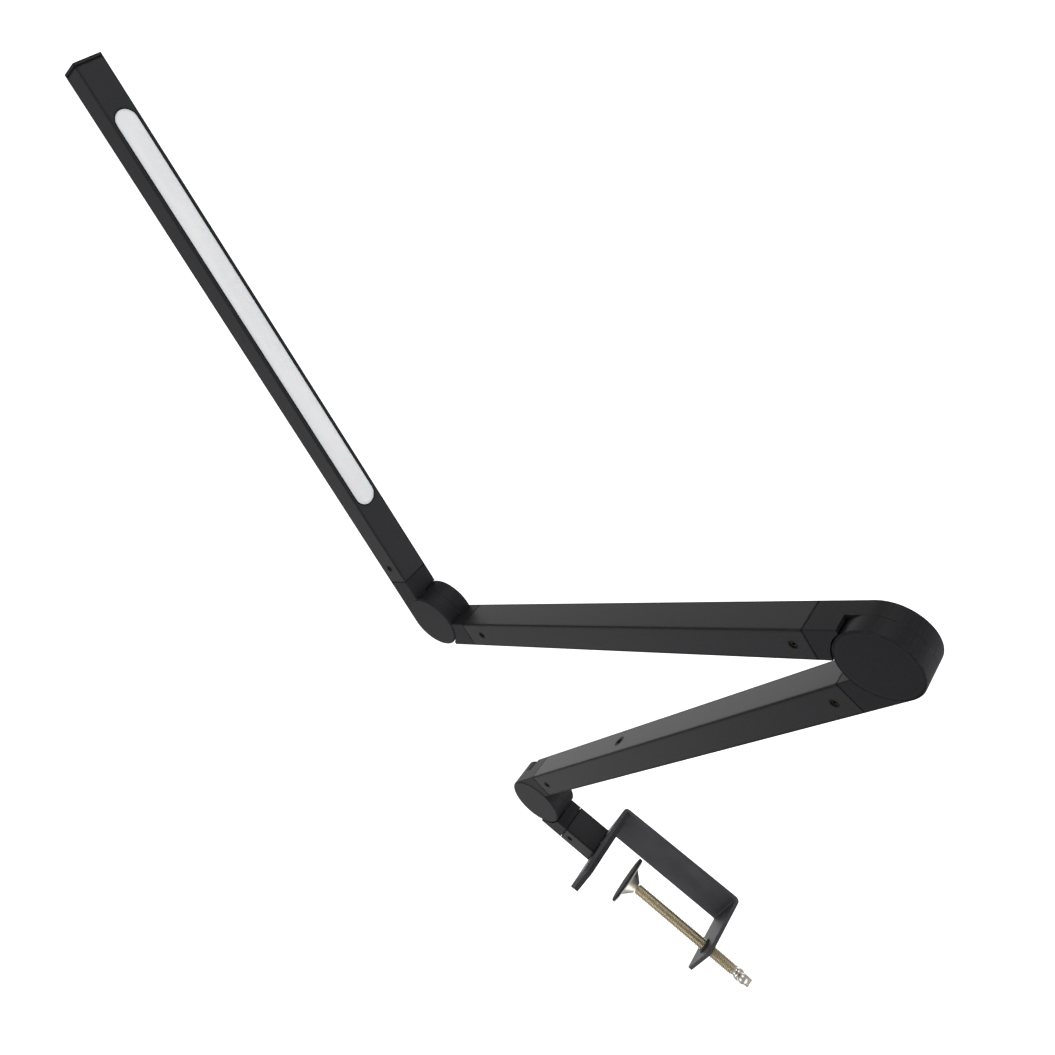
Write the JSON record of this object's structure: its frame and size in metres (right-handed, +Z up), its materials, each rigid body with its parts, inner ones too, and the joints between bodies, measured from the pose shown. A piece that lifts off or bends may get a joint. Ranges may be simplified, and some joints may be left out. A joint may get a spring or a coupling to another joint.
{
  "type": "clamp-mounted folding bar light",
  "caption": "Folding LED bar light for a display or desk edge: C clamp with screw, swivelling stem, two square-tube arms with friction hinges and a long diffused bar.",
  "frame": {"origin": "where the stem's swivel axis meets the underside of the upper jaw's liner, the face that rests on the panel or desk", "axes": "+Z up along the swivel axis, clamp opening towards -Y, arms reaching towards +X turned 5 degrees about Z"},
  "size_m": [0.5426, 0.0931, 0.7886],
  "materials": {
    "black_anodised": "satin black anodised",
    "cap_black": "turned, black anodised",
    "powder_coat": "satin black powder coat",
    "liner_rubber": "matt rubber",
    "steel": "zinc-plated steel",
    "yellow_zinc": "yellow zinc plate",
    "nickel": "bright nickel plate",
    "nylon": "natural nylon",
    "opal": "opal acrylic",
    "board": "white solder mask",
    "chip": "phosphor-coated chip",
    "bare_aluminium": "mill finish",
    "driver_green": "green circuit board",
    "plug_black": "moulded black",
    "lead_black": "black insulation",
    "brass": "plain brass"
  },
  "bodies": {
    "clamp": {"clamp_bracket": "powder_coat", "jaw_liner": "liner_rubber", "clamp_nut": "powder_coat"},
    "stem": {"swivel_screw": "steel", "swivel_spring_washer": "steel", "swivel_thrust_washer": "nylon", "stem_plug": "black_anodised", "stem_tube": "black_anodised", "stem_knuckle": "black_anodised", "stem_set_screw": "brass", "base_back_cap": "cap_black"},
    "lower_arm": {"lower_base_knuckle": "black_anodised", "lower_arm_tube": "black_anodised", "lower_elbow_knuckle": "black_anodised", "lower_arm_set_screws": "brass", "inlet_socket": "plug_black", "inlet_centre_pin": "brass", "lower_arm_lead": "lead_black", "base_hollow_pin": "steel", "base_ring_nut": "steel", "base_spring_washer": "steel", "base_friction_disc": "nylon", "base_front_cap": "cap_black", "elbow_hollow_pin": "steel", "elbow_ring_nut": "steel", "elbow_spring_washer": "steel", "elbow_friction_disc": "nylon", "elbow_front_cap": "cap_black"},
    "upper_arm": {"upper_elbow_knuckle": "black_anodised", "upper_arm_tube": "black_anodised", "upper_head_knuckle": "black_anodised", "upper_arm_set_screws": "brass", "upper_arm_lead": "lead_black", "elbow_back_cap": "cap_black", "head_back_cap": "cap_black"},
    "light_bar": {"bar_knuckle": "black_anodised", "bar_housing": "black_anodised", "diffuser": "opal", "led_board": "board", "led_chips": "chip", "heat_strip": "bare_aluminium", "driver_board": "driver_green", "bar_end_cap": "black_anodised", "bar_lead": "lead_black", "bar_set_screw": "brass", "head_hollow_pin": "steel", "head_ring_nut": "steel", "head_spring_washer": "steel", "head_friction_disc": "nylon", "head_front_cap": "cap_black"},
    "swivel_ball": {"swivel_ball": "brass"},
    "clamp_screw": {"clamp_screw": "yellow_zinc"},
    "pad": {"pad_cup": "nickel", "pad_rubber": "liner_rubber"},
    "grip_bar": {"grip_bar": "nickel", "grip_bar_knobs": "nickel"}
  },
  "joints": [
    {"name": "stem_swivel", "type": "hinge", "parent": "clamp", "child": "stem", "pos_m": [0, 0, 0.0074], "axis": [0, 0, 1], "continuous": true},
    {"name": "base_fold", "type": "hinge", "parent": "stem", "child": "lower_arm", "pos_m": [0.01345, -0.00118, 0.073], "axis": [-0.0872, -0.9962, 0], "range_deg": [-32, 108]},
    {"name": "elbow_fold", "type": "hinge", "parent": "lower_arm", "child": "upper_arm", "pos_m": [0.45474, -0.03978, -0.04254], "axis": [0.0872, 0.9962, 0], "range_deg": [-20, 159]},
    {"name": "head_fold", "type": "hinge", "parent": "upper_arm", "child": "light_bar", "pos_m": [0.16905, -0.01479, 0.22094], "axis": [-0.0872, -0.9962, 0], "range_deg": [-87, 92]},
    {"name": "screw_travel", "type": "slide", "parent": "clamp", "child": "swivel_ball", "axis": [0, 0, 1], "range_m": [-0.06, 0.024]},
    {"name": "screw_turn", "type": "hinge", "parent": "swivel_ball", "child": "clamp_screw", "pos_m": [0, -0.008, -0.0348], "axis": [0, 0, 1], "range_deg": [-14410, 5770]},
    {"name": "pad_tilt", "type": "hinge", "parent": "swivel_ball", "child": "pad", "pos_m": [0, -0.008, -0.0348], "axis": [1, 0, 0], "range_deg": [-6, 6]},
    {"name": "grip_slide", "type": "slide", "parent": "clamp_screw", "child": "grip_bar", "axis": [0.8746, -0.4848, 0], "range_m": [-0.014, 0.014]}
  ],
  "couplings": [
    {"joint": "screw_turn", "follows": "screw_travel", "rad_per_m": 4188.8}
  ]
}
